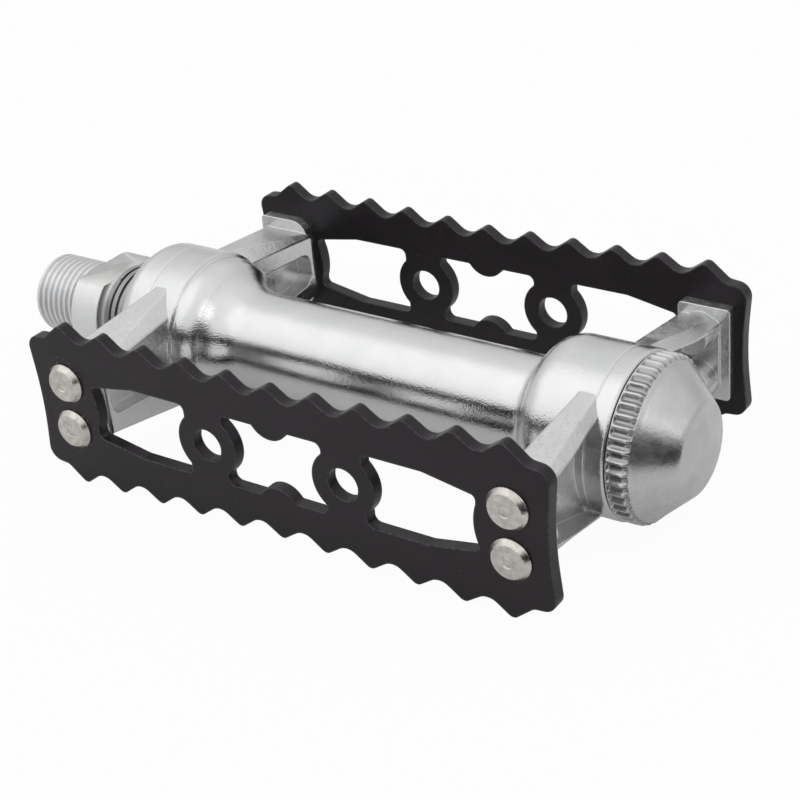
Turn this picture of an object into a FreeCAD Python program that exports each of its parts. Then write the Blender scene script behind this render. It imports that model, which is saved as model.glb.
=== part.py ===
"""Double-sided touring pedal with a cast body, two toothed cage plates and a cup-and-cone spindle.

Millimetres. +X points outboard along the spindle, +Y across to the rear plate and +Z up. The origin is
on the spindle axis at the shoulder that seats against the crank arm. The pedal lies level on its plates.
"""
import FreeCAD
import Part
import math
import os

V = FreeCAD.Vector
AXIS_X = V(1, 0, 0)
ORIGIN = V(0, 0, 0)

# Cast body, turned part
RIM_X = 14.0
RIM_R = 12.4
BOSS_R = 13.75
BOSS_END_X = 26.3
BOSS_LINE_X = RIM_X + 6.0
BULB_R = 13.1
BULB_SLOPE_DEG = 50.0
BULB_CORNER_X = 29.4
BARREL_R = 8.62
HUB_R = 13.5
HUB_SLOPE_DEG = 60.0
HUB_FOOT_X = 92.3
HUB_END_X = 109.7
HUB_LINE_X = HUB_END_X - 3.2
LINE_DEPTH = 0.18
CAP_BORE_R = HUB_R - 1.5
CAP_BORE_X = HUB_END_X - 2.5

# Ball bearings, seated in the two ends of the body
BALL_R = 1.984
RACE_R = 2.02
BALL_GAP = 0.1
CUP_FLOOR = 1.7
CUP_LIP = 2.6
INNER_CUP_R = BOSS_R - 2.15
INNER_CUP_WALL = 0.98
INNER_BALL_X = RIM_X + 5.2
INNER_BALL_CIRCLE_R = INNER_CUP_R - INNER_CUP_WALL - RACE_R
INNER_CUP_HOLE_R = INNER_BALL_CIRCLE_R - RACE_R + 0.92
INNER_BALL_COUNT = int(2 * math.pi * INNER_BALL_CIRCLE_R / (2 * BALL_R + BALL_GAP))
OUTER_CUP_R = HUB_R - 2.1
OUTER_CUP_WALL = 1.38
OUTER_BALL_X = HUB_END_X - 5.7
OUTER_BALL_CIRCLE_R = OUTER_CUP_R - OUTER_CUP_WALL - RACE_R
OUTER_BALL_COUNT = int(2 * math.pi * OUTER_BALL_CIRCLE_R / (2 * BALL_R + BALL_GAP))

# Spindle: 9/16 in x 20 TPI crank thread, 15 mm wrench flats, grooved neck and the inner cone
THREAD_R = 7.144
THREAD_LENGTH = 11.6
THREAD_LEAD_IN = 0.9
COLLAR_R = 9.9
COLLAR_LENGTH = 6.5
WRENCH_ACROSS_FLATS = 15.0
NECK_R = INNER_BALL_CIRCLE_R - 0.5
NECK_GROOVES = 3
NECK_GROOVE_START = 1.1
NECK_GROOVE_PITCH = 1.45
NECK_GROOVE_WIDTH = 0.65
NECK_GROOVE_DEPTH = 0.7
STUD_R = OUTER_BALL_CIRCLE_R - 3.5
STUD_START_X = OUTER_BALL_X - 3.0
SHAFT_R = STUD_R + 0.7
SPINDLE_END_X = HUB_END_X + 4.3
KEYWAY_WIDTH = 2.4
KEYWAY_DEPTH = 1.0
BODY_BORE_R = SHAFT_R + 1.5

# Small hardware on the spindle's outboard end
CONE_R = OUTER_BALL_CIRCLE_R + 0.1
CONE_X = (OUTER_BALL_X - 1.3, OUTER_BALL_X + 4.4)
CONE_FLAT_DEPTH = 1.6
CONE_FLAT_LENGTH = 1.4
WASHER_THICKNESS = 1.0
WASHER_R = STUD_R + 2.6
NUT_ACROSS_FLATS = 2 * STUD_R + 4.0
NUT_HEIGHT = 3.2
NUT_CHAMFER = 0.6
SEAL_X = (RIM_X - 0.4, RIM_X + 1.3)
SEAL_BORE_R = NECK_R + 0.25

# Cast body, arms
PLATE_CENTRE_X = 63.0
HALF_WIDTH = 32.0
PLATE_THICKNESS = 2.1
PAD_THICKNESS = 2.0
PAD_FACE_Y = HALF_WIDTH - PLATE_THICKNESS
ARM_TIP_Y = PAD_FACE_Y - PAD_THICKNESS
ARM_EDGE_ROUND = 0.5
HULL_OVERLAP = 1.6
INNER_ARM_X = (RIM_X + 2.0, BOSS_END_X - 0.4)
INNER_ARM_ROOT_DEG = 54.0
INNER_ARM_ROOT_INSET = 4.8
INNER_ARM_TIP_HALF = 6.5
INNER_ARM_CHAMFERS = ((2.4, 3.0), (1.0, 0.6))
INNER_PAD_X = (RIM_X + 1.2, BOSS_END_X - 0.9)
INNER_PAD_HALF = 8.6
INNER_PAD_ROUNDS = (0.8, 3.2)
INNER_RECESS_DEPTH = 3.2
INNER_RECESS_HALF = (4.2, 3.0)
INNER_RECESS_Y = (BOSS_R - 0.5, ARM_TIP_Y - 0.3)
OUTER_ARM_X = (HUB_END_X - 8.3, HUB_END_X - 1.2)
OUTER_ARM_ROOT_DEG = 52.0
OUTER_ARM_ROOT_INSET = 1.9
OUTER_ARM_TIP_HALF = 6.4
OUTER_ARM_CHAMFERS = ((2.2, 3.0), (1.1, 0.7))
OUTER_FLANGE = 1.75
OUTER_WEB = 2.2
OUTER_PAD_X = (HUB_END_X - 8.7, HUB_END_X + 0.5)
OUTER_PAD_HALF = 8.3
OUTER_PAD_ROUNDS = (0.8, 0.8)

# Toothed plates
TOOTH_PITCH = 8.36
TEETH_EACH_SIDE = 5
MID_TIP_HEIGHT = 13.3
TIP_RISE_PER_TOOTH = 0.26
FLANK_DEG = 35.0
TIP_ROUND = 1.2
VALLEY_ROUND = 2.6
LOBE_X = 49.4
LOBE_Z = 11.6
SHOULDER_X = 45.4
WAIST_X = 48.3
STRAP_HOLE_X = 13.1
STRAP_HOLE_R = 2.8
HOLE_RING_R = 5.7
RIVET_X = 42.15
RIVET_Z = 4.26
RIVET_HEAD_R = 3.5
RIVET_HEAD_HEIGHT = 1.15
RIVET_SHANK_R = 2.0
RIVET_SHANK_LENGTH = 7.4
RIVET_BOSS_R = 2.95
RIVET_BOSS_LENGTH = 4.2
WINDOW_HALF = 6.3
END_WINDOW_X = (17.0, 27.7, 36.7)
END_WINDOW_TIP_HALF = 4.7
END_WINDOW_BOW_R = 9.9
END_WINDOW_BOW_X = 36.1
MID_WINDOW_X = 9.6
MID_BUMP_R = 3.9
MID_BUMP_Z = 4.3
WINDOW_ROUND = 1.2
WINDOW_TIP_ROUND = 0.9
WINDOW_BLEND = 0.5

# Dust cap
CAP_GAP = 0.12
CAP_KNURL_X = (HUB_END_X + CAP_GAP, HUB_END_X + 3.0)
CAP_KNURL_R = HUB_R - 0.2
CAP_FLUTES = 46
CAP_FLUTE_R = 0.6
CAP_FLUTE_SINK = 0.12
CAP_FLUTE_ENDS = (0.3, 0.6)
CAP_SHOULDER = (1.2, 1.3)
CAP_NOSE_X = HUB_END_X + 10.8
CAP_NOSE_R = 2.6
CAP_CONE_END_X = CAP_NOSE_X - 1.5
CAP_CONE_END_R = CAP_KNURL_R - 6.0
CAP_WALL = 1.6
CAP_SPIGOT_BORE_R = CAP_BORE_R - 1.6


def rounded_wire(points, radii, place):
    """Closed wire through the points, each corner rounded by its radius; place maps (u, v) to space."""
    count = len(points)
    starts, middles, ends = [], [], []
    for i in range(count):
        px, py = points[i]
        ax, ay = points[i - 1][0] - px, points[i - 1][1] - py
        bx, by = points[(i + 1) % count][0] - px, points[(i + 1) % count][1] - py
        la, lb = math.hypot(ax, ay), math.hypot(bx, by)
        ax, ay, bx, by = ax / la, ay / la, bx / lb, by / lb
        radius = radii[i]
        if radius <= 0:
            starts.append((px, py))
            middles.append(None)
            ends.append((px, py))
            continue
        half = math.acos(max(-1.0, min(1.0, ax * bx + ay * by))) / 2
        reach = radius / math.tan(half)
        mx, my = ax + bx, ay + by
        length = math.hypot(mx, my)
        mx, my = mx / length, my / length
        away = radius / math.sin(half) - radius
        starts.append((px + ax * reach, py + ay * reach))
        middles.append((px + mx * away, py + my * away))
        ends.append((px + bx * reach, py + by * reach))
    edges = []
    for i in range(count):
        if middles[i] is not None:
            edges.append(Part.Arc(place(*starts[i]), place(*middles[i]), place(*ends[i])).toShape())
        here, there = place(*ends[i]), place(*starts[(i + 1) % count])
        if here.distanceToPoint(there) > 1e-5:
            edges.append(Part.LineSegment(here, there).toShape())
    return Part.Wire(edges)


def turned(corners):
    """Solid of revolution about the spindle axis from (x, radius, rounding) corners."""
    points = [(x, r) for x, r, _ in corners]
    radii = [rounding for _, _, rounding in corners]
    wire = rounded_wire(points, radii, lambda x, r: V(x, r, 0))
    return Part.Face(wire).revolve(ORIGIN, AXIS_X, 360)


def prism_along_x(corners, x0, x1):
    """Prism from (y, z, rounding) corners between two stations of X."""
    points = [(y, z) for y, z, _ in corners]
    radii = [rounding for _, _, rounding in corners]
    wire = rounded_wire(points, radii, lambda y, z: V(x0, y, z))
    return Part.Face(wire).extrude(V(x1 - x0, 0, 0))


def prism_along_y(corners, y0, y1):
    """Prism from (x, z, rounding) corners between two stations of Y."""
    points = [(x, z) for x, z, _ in corners]
    radii = [rounding for _, _, rounding in corners]
    wire = rounded_wire(points, radii, lambda x, z: V(x, y0, z))
    return Part.Face(wire).extrude(V(0, y1 - y0, 0))


def prism_along_z(corners, z0, z1):
    """Prism from (x, y, rounding) corners between two stations of Z."""
    points = [(x, y) for x, y, _ in corners]
    radii = [rounding for _, _, rounding in corners]
    wire = rounded_wire(points, radii, lambda x, y: V(x, y, z0))
    return Part.Face(wire).extrude(V(0, 0, z1 - z0))


def mirrored(shape):
    """Copy on the other side of the plane y = 0."""
    return shape.mirror(ORIGIN, V(0, 1, 0))


def tidy(shape):
    """Single clean solid out of a boolean result."""
    shape = shape.removeSplitter()
    return shape.Solids[0] if len(shape.Solids) == 1 else shape


def rivet_places():
    """Name, X, side of Y and Z of the eight rivets."""
    out = []
    for side_name, side in (("front", -1), ("rear", 1)):
        for end_name, end in (("inboard", -1), ("outboard", 1)):
            for level_name, level in (("upper", 1), ("lower", -1)):
                name = "rivet_%s_%s_%s" % (side_name, end_name, level_name)
                out.append((name, PLATE_CENTRE_X + end * RIVET_X, side, level * RIVET_Z))
    return out


# Toothed plates


def plate_outline():
    """Corners (x, z, rounding) of the toothed outline, counted from the plate's own centre."""
    rise = math.tan(math.radians(FLANK_DEG)) * TOOTH_PITCH / 2
    tip_loss = TIP_ROUND * (1 / math.cos(math.radians(FLANK_DEG)) - 1)
    top = []
    for i in range(-TEETH_EACH_SIDE, TEETH_EACH_SIDE + 1):
        tip = MID_TIP_HEIGHT + TIP_RISE_PER_TOOTH * abs(i) + tip_loss
        top.append((i * TOOTH_PITCH, tip, TIP_ROUND))
        if i < TEETH_EACH_SIDE:
            level = MID_TIP_HEIGHT + TIP_RISE_PER_TOOTH * abs(i + 0.5) + tip_loss
            top.append(((i + 0.5) * TOOTH_PITCH, level - rise, VALLEY_ROUND))
    end = [(SHOULDER_X, LOBE_Z + 0.35, 1.6), (LOBE_X, LOBE_Z, 2.3), (WAIST_X, 0.0, 60.0),
           (LOBE_X, -LOBE_Z, 2.3), (SHOULDER_X, -LOBE_Z - 0.35, 1.6)]
    bottom = [(x, -z, r) for x, z, r in reversed(top)]
    far_end = [(-x, -z, r) for x, z, r in end]
    return top + end + bottom + far_end


def end_window(sign, y0, y1):
    """Tapered window between a strap hole's ring and the rivets."""
    near, knee, far = END_WINDOW_X
    corners = [(near, WINDOW_HALF, WINDOW_ROUND), (knee, WINDOW_HALF, 3),
               (far, END_WINDOW_TIP_HALF, WINDOW_TIP_ROUND), (far, -END_WINDOW_TIP_HALF, WINDOW_TIP_ROUND),
               (knee, -WINDOW_HALF, 3), (near, -WINDOW_HALF, WINDOW_ROUND)]
    shape = prism_along_y([(sign * x, z, r) for x, z, r in corners], y0, y1)
    ring = Part.makeCylinder(HOLE_RING_R, y1 - y0, V(sign * STRAP_HOLE_X, y0, 0), V(0, 1, 0))
    bow_centre = sign * (END_WINDOW_BOW_X + END_WINDOW_BOW_R)
    bow = Part.makeCylinder(END_WINDOW_BOW_R, y1 - y0, V(bow_centre, y0, 0), V(0, 1, 0))
    return blend_window(shape.cut(ring).cut(bow))


def mid_window(y0, y1):
    """Bow-tie window with a bump above and below, between the two strap holes."""
    half = WINDOW_HALF - 0.1
    corners = [(-MID_WINDOW_X, half, WINDOW_ROUND), (MID_WINDOW_X, half, WINDOW_ROUND),
               (MID_WINDOW_X, -half, WINDOW_ROUND), (-MID_WINDOW_X, -half, WINDOW_ROUND)]
    shape = prism_along_y(corners, y0, y1)
    for sign in (-1, 1):
        ring_at = V(sign * STRAP_HOLE_X, y0, 0)
        shape = shape.cut(Part.makeCylinder(HOLE_RING_R, y1 - y0, ring_at, V(0, 1, 0)))
        bump_at = V(0, y0, sign * (MID_BUMP_Z + MID_BUMP_R))
        shape = shape.cut(Part.makeCylinder(MID_BUMP_R, y1 - y0, bump_at, V(0, 1, 0)))
    return blend_window(shape)


def blend_window(shape):
    """Blends the corners where the rings and bumps meet the straight edges."""
    edges = []
    for edge in shape.Edges:
        if edge.Length > 0.5 and isinstance(edge.Curve, Part.Line) and len(edge.Vertexes) == 2:
            a, b = edge.Vertexes[0].Point, edge.Vertexes[1].Point
            if abs(a.x - b.x) < 1e-6 and abs(a.z - b.z) < 1e-6 and not smooth(shape, edge):
                edges.append(edge)
    return shape.makeFillet(WINDOW_BLEND, edges)


def smooth(shape, edge):
    """True where the two faces at an edge already meet without a corner."""
    middle = edge.valueAt((edge.FirstParameter + edge.LastParameter) / 2)
    normals = []
    for face in shape.Faces:
        if face.isInside(middle, 1e-5, True):
            u, v = face.Surface.parameter(middle)
            normals.append(face.normalAt(u, v))
    return len(normals) == 2 and normals[0].getAngle(normals[1]) < 0.02


def cage_plate():
    """Stamped plate at the rear side, centred in place."""
    y0, y1 = HALF_WIDTH - PLATE_THICKNESS, HALF_WIDTH
    plate = prism_along_y(plate_outline(), y0, y1)
    plate = plate.cut(mid_window(y0, y1))
    for sign in (-1, 1):
        plate = plate.cut(end_window(sign, y0, y1))
        for x, z, r in ((STRAP_HOLE_X, 0, STRAP_HOLE_R), (RIVET_X, RIVET_Z, RIVET_SHANK_R),
                        (RIVET_X, -RIVET_Z, RIVET_SHANK_R)):
            plate = plate.cut(Part.makeCylinder(r, y1 - y0, V(sign * x, y0, z), V(0, 1, 0)))
    plate.translate(V(PLATE_CENTRE_X, 0, 0))
    return tidy(plate)


def rivet(x, side, z):
    """Turned-head rivet through plate and pad; the head has two shallow rings and a dimple."""
    face = HALF_WIDTH
    top = face + RIVET_HEAD_HEIGHT
    corners = [(face - RIVET_SHANK_LENGTH, 0, 0), (face - RIVET_SHANK_LENGTH, RIVET_SHANK_R - 0.3, 0),
               (face - RIVET_SHANK_LENGTH + 0.5, RIVET_SHANK_R, 0), (face, RIVET_SHANK_R, 0),
               (face, RIVET_HEAD_R, 0), (top - 0.45, RIVET_HEAD_R, 0), (top, RIVET_HEAD_R - 0.55, 0),
               (top, 2.0, 0), (top - 0.18, 1.75, 0), (top, 1.5, 0), (top, 0.75, 0), (top - 0.35, 0, 0)]
    shape = turned([(along, r, rounding) for along, r, rounding in corners])
    shape.rotate(ORIGIN, V(0, 0, 1), 90)
    if side < 0:
        shape = mirrored(shape)
    shape.translate(V(x, 0, z))
    return shape


# Cast body


def body_turned():
    """Boss, bulb, barrel and hub as one hollow solid of revolution."""
    bulb_run = (BULB_R - BARREL_R) / math.tan(math.radians(BULB_SLOPE_DEG))
    hub_run = (HUB_R - BARREL_R) / math.tan(math.radians(HUB_SLOPE_DEG))
    inner_seat = INNER_BALL_X + RACE_R + CUP_FLOOR
    outer_seat = OUTER_BALL_X - RACE_R - CUP_FLOOR
    return turned([
        (RIM_X, INNER_CUP_R, 0), (RIM_X, RIM_R, 0.4), (RIM_X + 1.9, BOSS_R, 2.5),
        (BOSS_LINE_X - LINE_DEPTH, BOSS_R, 0), (BOSS_LINE_X, BOSS_R - LINE_DEPTH, 0),
        (BOSS_LINE_X + LINE_DEPTH, BOSS_R, 0), (BOSS_END_X, BOSS_R, 0.3),
        (BOSS_END_X + 0.5, BULB_R, 0), (BULB_CORNER_X, BULB_R, 4.6),
        (BULB_CORNER_X + bulb_run, BARREL_R, 7.4), (HUB_FOOT_X, BARREL_R, 1.8),
        (HUB_FOOT_X + hub_run, HUB_R, 5.0),
        (HUB_LINE_X - LINE_DEPTH, HUB_R, 0), (HUB_LINE_X, HUB_R - LINE_DEPTH, 0),
        (HUB_LINE_X + LINE_DEPTH, HUB_R, 0),
        (HUB_END_X, HUB_R, 0.5), (HUB_END_X, CAP_BORE_R, 0), (CAP_BORE_X, CAP_BORE_R, 0),
        (CAP_BORE_X, OUTER_CUP_R, 0), (outer_seat, OUTER_CUP_R, 0), (outer_seat, BODY_BORE_R, 0),
        (inner_seat, BODY_BORE_R, 0), (inner_seat, INNER_CUP_R, 0)])


def arm_section(y, x0, x1, half, chamfer):
    """Closed outline of an arm at one Y, flat above and below, with chamfered outboard corners."""
    width, drop = chamfer
    upper = [(x0, half), (x1 - width, half), (x1, half - drop)]
    lower = [(x, -z) for x, z in reversed(upper)]
    return Part.makePolygon([V(x, y, z) for x, z in upper + lower + upper[:1]])


def between(start, end, share):
    """Value at a share of the way from start to end."""
    return start + (end - start) * share


def arm_bar(root_y, root_half, tip_half, span_x, inset, chamfers):
    """Bar with flat sides that tapers from inside the hull to the pad."""
    x0, x1 = span_x
    (root_width, root_drop), (tip_width, tip_drop) = chamfers
    outlines = []
    for y in (root_y - HULL_OVERLAP, ARM_TIP_Y + ARM_EDGE_ROUND):
        share = (y - root_y) / (ARM_TIP_Y - root_y)
        chamfer = between(root_width, tip_width, share), between(root_drop, tip_drop, share)
        outlines.append(arm_section(y, x0 + between(inset, 0, share), x1, between(root_half, tip_half, share),
                                    chamfer))
    return Part.makeLoft(outlines, True, True)


def pad(span_x, half, roundings):
    """End pad that the plate is riveted to."""
    x0, x1 = span_x
    inboard, outboard = roundings
    corners = [(x0, half, inboard), (x1, half, outboard), (x1, -half, outboard), (x0, -half, inboard)]
    return prism_along_y(corners, ARM_TIP_Y, PAD_FACE_Y)


def soften(shape, radius):
    """Rounds the long edges of an arm."""
    edges = []
    for edge in shape.Edges:
        if len(edge.Vertexes) == 2:
            run = edge.Vertexes[1].Point - edge.Vertexes[0].Point
            if abs(run.y) > 6:
                edges.append(edge)
    return shape.makeFillet(radius, edges)


def inner_arm():
    """Solid arm near the crank, with a shallow recess on its outboard face."""
    root = math.radians(INNER_ARM_ROOT_DEG)
    arm = arm_bar(BOSS_R * math.cos(root), BOSS_R * math.sin(root), INNER_ARM_TIP_HALF, INNER_ARM_X,
                  INNER_ARM_ROOT_INSET, INNER_ARM_CHAMFERS)
    arm = soften(arm, ARM_EDGE_ROUND)
    x1 = INNER_ARM_X[1]
    root_half, tip_half = INNER_RECESS_HALF
    y0, y1 = INNER_RECESS_Y
    recess = [(y0, root_half, 1.0), (y1, tip_half, 2.4), (y1, -tip_half, 2.4), (y0, -root_half, 1.0)]
    arm = arm.cut(prism_along_x(recess, x1 - INNER_RECESS_DEPTH, x1 + 1))
    return arm.fuse(pad(INNER_PAD_X, INNER_PAD_HALF, INNER_PAD_ROUNDS))


def outer_arm():
    """Channel arm near the cap, open towards the cap, with two rivet bosses in the channel."""
    x0, x1 = OUTER_ARM_X
    root = math.radians(OUTER_ARM_ROOT_DEG)
    root_y, root_half = HUB_R * math.cos(root), HUB_R * math.sin(root)
    arm = arm_bar(root_y, root_half, OUTER_ARM_TIP_HALF, OUTER_ARM_X, OUTER_ARM_ROOT_INSET,
                  OUTER_ARM_CHAMFERS)
    arm = soften(arm, ARM_EDGE_ROUND)
    ends = ((root_y, x0 + OUTER_ARM_ROOT_INSET + OUTER_WEB, root_half - OUTER_FLANGE),
            (ARM_TIP_Y - ARM_EDGE_ROUND, x0 + OUTER_WEB, OUTER_ARM_TIP_HALF - OUTER_FLANGE))
    outlines = []
    for y, floor, half in ends:
        corners = [(floor, half), (x1 + 1, half), (x1 + 1, -half), (floor, -half), (floor, half)]
        outlines.append(Part.makePolygon([V(x, y, z) for x, z in corners]))
    arm = arm.cut(Part.makeLoft(outlines, True, True))
    for level in (-1, 1):
        at = V(PLATE_CENTRE_X + RIVET_X, ARM_TIP_Y - RIVET_BOSS_LENGTH, level * RIVET_Z)
        arm = arm.fuse(Part.makeCylinder(RIVET_BOSS_R, RIVET_BOSS_LENGTH + 0.3, at, V(0, 1, 0)))
    return arm.fuse(pad(OUTER_PAD_X, OUTER_PAD_HALF, OUTER_PAD_ROUNDS))


def pedal_body():
    """Boss, barrel, hub and four arms cast as one piece, bored for the bearings and drilled for rivets."""
    inner, outer = inner_arm(), outer_arm()
    hull = body_turned()
    bore = turned([(RIM_X - 1, 0, 0), (RIM_X - 1, INNER_CUP_R, 0),
                   (INNER_BALL_X + RACE_R + CUP_FLOOR, INNER_CUP_R, 0),
                   (INNER_BALL_X + RACE_R + CUP_FLOOR, BODY_BORE_R, 0),
                   (OUTER_BALL_X - RACE_R - CUP_FLOOR, BODY_BORE_R, 0),
                   (OUTER_BALL_X - RACE_R - CUP_FLOOR, OUTER_CUP_R, 0), (CAP_BORE_X, OUTER_CUP_R, 0),
                   (CAP_BORE_X, CAP_BORE_R, 0), (HUB_END_X + 1, CAP_BORE_R, 0), (HUB_END_X + 1, 0, 0)])
    arms = inner.fuse([outer, mirrored(inner), mirrored(outer)])
    body = hull.fuse(arms.cut(bore))
    for _, x, side, z in rivet_places():
        depth = RIVET_SHANK_LENGTH - PLATE_THICKNESS
        hole = Part.makeCylinder(RIVET_SHANK_R, depth, V(x, PAD_FACE_Y - depth, z), V(0, 1, 0))
        body = body.cut(hole if side > 0 else mirrored(hole))
    return tidy(body)


# Bearings


def inner_cup():
    """Pressed bearing cup that opens towards the crank."""
    outer_wall = INNER_BALL_CIRCLE_R + RACE_R
    floor = INNER_BALL_X + RACE_R
    return turned([(INNER_BALL_X - CUP_LIP, INNER_CUP_R, 0.3), (floor + CUP_FLOOR, INNER_CUP_R, 0.3),
                   (floor + CUP_FLOOR, INNER_CUP_HOLE_R, 0), (floor, INNER_CUP_HOLE_R, 0),
                   (floor, outer_wall, RACE_R),
                   (INNER_BALL_X - CUP_LIP, outer_wall, 0)])


def outer_cup():
    """Pressed bearing cup that opens towards the cap."""
    outer_wall = OUTER_BALL_CIRCLE_R + RACE_R
    floor = OUTER_BALL_X - RACE_R
    return turned([(OUTER_BALL_X + CUP_LIP, OUTER_CUP_R, 0.3), (floor - CUP_FLOOR, OUTER_CUP_R, 0.3),
                   (floor - CUP_FLOOR, BODY_BORE_R + 0.3, 0), (floor, BODY_BORE_R + 0.3, 0),
                   (floor, outer_wall, RACE_R),
                   (OUTER_BALL_X + CUP_LIP, outer_wall, 0)])


def balls(prefix, x, circle_r, count):
    """Loose balls of one bearing, spread evenly on their circle."""
    out = {}
    for i in range(count):
        angle = 2 * math.pi * i / count
        at = V(x, circle_r * math.cos(angle), circle_r * math.sin(angle))
        out["%s_%02d" % (prefix, i + 1)] = Part.makeSphere(BALL_R, at, AXIS_X)
    return out


# Spindle and what turns with it


def spindle():
    """Crank thread, collar with two flats, grooved neck, inner cone, shaft and keyed stud."""
    corners = [(-THREAD_LENGTH, 0, 0), (-THREAD_LENGTH, THREAD_R - THREAD_LEAD_IN, 0),
               (-THREAD_LENGTH + THREAD_LEAD_IN, THREAD_R, 0), (0, THREAD_R, 0), (0, COLLAR_R - 0.5, 0),
               (0.5, COLLAR_R, 0), (COLLAR_LENGTH, COLLAR_R, 0.3), (COLLAR_LENGTH, NECK_R, 0)]
    start = COLLAR_LENGTH + NECK_GROOVE_START
    for i in range(NECK_GROOVES):
        x = start + i * NECK_GROOVE_PITCH
        corners += [(x, NECK_R, 0), (x, NECK_R - NECK_GROOVE_DEPTH, 0),
                    (x + NECK_GROOVE_WIDTH, NECK_R - NECK_GROOVE_DEPTH, 0),
                    (x + NECK_GROOVE_WIDTH, NECK_R, 0)]
    race_wall = INNER_BALL_X - RACE_R
    race_floor = INNER_BALL_CIRCLE_R - RACE_R
    cone_lip = INNER_BALL_CIRCLE_R + 0.1
    cone_end = INNER_BALL_X + RACE_R + 0.3
    seat = INNER_BALL_X + RACE_R + CUP_FLOOR
    corners += [(race_wall - 1.4, NECK_R, 0), (race_wall - 1.4 + (cone_lip - NECK_R), cone_lip, 0),
                (race_wall, cone_lip, 0), (race_wall, race_floor, RACE_R), (cone_end, race_floor, 0.4),
                (seat, SHAFT_R + 0.7, 0), (seat + 4.0, SHAFT_R, 3.0), (STUD_START_X, SHAFT_R, 0),
                (STUD_START_X + 0.7, STUD_R, 0),
                (SPINDLE_END_X - 0.6, STUD_R, 0), (SPINDLE_END_X, STUD_R - 0.6, 0), (SPINDLE_END_X, 0, 0)]
    shape = turned(corners)
    for sign in (-1, 1):
        z0 = WRENCH_ACROSS_FLATS / 2 if sign > 0 else -WRENCH_ACROSS_FLATS / 2 - 5
        shape = shape.cut(Part.makeBox(COLLAR_LENGTH, 2 * COLLAR_R + 2, 5, V(0, -COLLAR_R - 1, z0)))
    slot = Part.makeBox(SPINDLE_END_X - CONE_X[1] + 2.5, KEYWAY_WIDTH, 5,
                        V(CONE_X[1] - 1.5, -KEYWAY_WIDTH / 2, STUD_R - KEYWAY_DEPTH))
    return tidy(shape.cut(slot))


def outer_cone():
    """Adjusting cone screwed on the stud, with two spanner flats on its outboard end."""
    race_wall = OUTER_BALL_X + RACE_R
    race_floor = OUTER_BALL_CIRCLE_R - RACE_R
    shape = turned([(CONE_X[0], STUD_R, 0), (CONE_X[0], race_floor, 0.3), (race_wall, race_floor, RACE_R),
                    (race_wall, CONE_R, 0), (CONE_X[1], CONE_R, 0.4), (CONE_X[1], STUD_R, 0)])
    for sign in (-1, 1):
        z0 = CONE_R - CONE_FLAT_DEPTH if sign > 0 else -2 * CONE_R
        shape = shape.cut(Part.makeBox(CONE_FLAT_LENGTH, 2 * CONE_R, CONE_R + CONE_FLAT_DEPTH,
                                       V(CONE_X[1] - CONE_FLAT_LENGTH, -CONE_R, z0)))
    return tidy(shape)


def lock_washer():
    """Flat washer with an inner key that sits in the stud's keyway."""
    x0 = CONE_X[1]
    shape = turned([(x0, STUD_R, 0), (x0, WASHER_R, 0), (x0 + WASHER_THICKNESS, WASHER_R, 0),
                    (x0 + WASHER_THICKNESS, STUD_R, 0)])
    key_floor = STUD_R - KEYWAY_DEPTH + 0.1
    key = Part.makeBox(WASHER_THICKNESS, KEYWAY_WIDTH - 0.2, 1.6, V(x0, -KEYWAY_WIDTH / 2 + 0.1, key_floor))
    return tidy(shape.fuse(key))


def lock_nut():
    """Thin hexagon nut that locks the cone."""
    x0 = CONE_X[1] + WASHER_THICKNESS
    corner = NUT_ACROSS_FLATS / math.sqrt(3)
    hexagon = [(corner * math.cos(math.radians(60 * i)), corner * math.sin(math.radians(60 * i)), 0)
               for i in range(6)]
    shape = prism_along_x(hexagon, x0, x0 + NUT_HEIGHT)
    crown = turned([(x0, 0, 0), (x0, corner - NUT_CHAMFER, 0), (x0 + NUT_CHAMFER, corner, 0),
                    (x0 + NUT_HEIGHT - NUT_CHAMFER, corner, 0),
                    (x0 + NUT_HEIGHT, corner - NUT_CHAMFER, 0), (x0 + NUT_HEIGHT, 0, 0)])
    bore = Part.makeCylinder(STUD_R, NUT_HEIGHT + 2, V(x0 - 1, 0, 0), AXIS_X)
    return tidy(shape.common(crown).cut(bore))


def dust_seal():
    """Seal ring in the mouth of the body; its bore clears the spindle's neck."""
    x0, x1 = SEAL_X
    return turned([(x0, SEAL_BORE_R, 0), (x0, INNER_CUP_R - 1.2, 0.4), (RIM_X, INNER_CUP_R - 0.6, 0),
                   (RIM_X, INNER_CUP_R, 0), (x1, INNER_CUP_R, 0), (x1, SEAL_BORE_R, 0)])


# Dust cap


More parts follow.
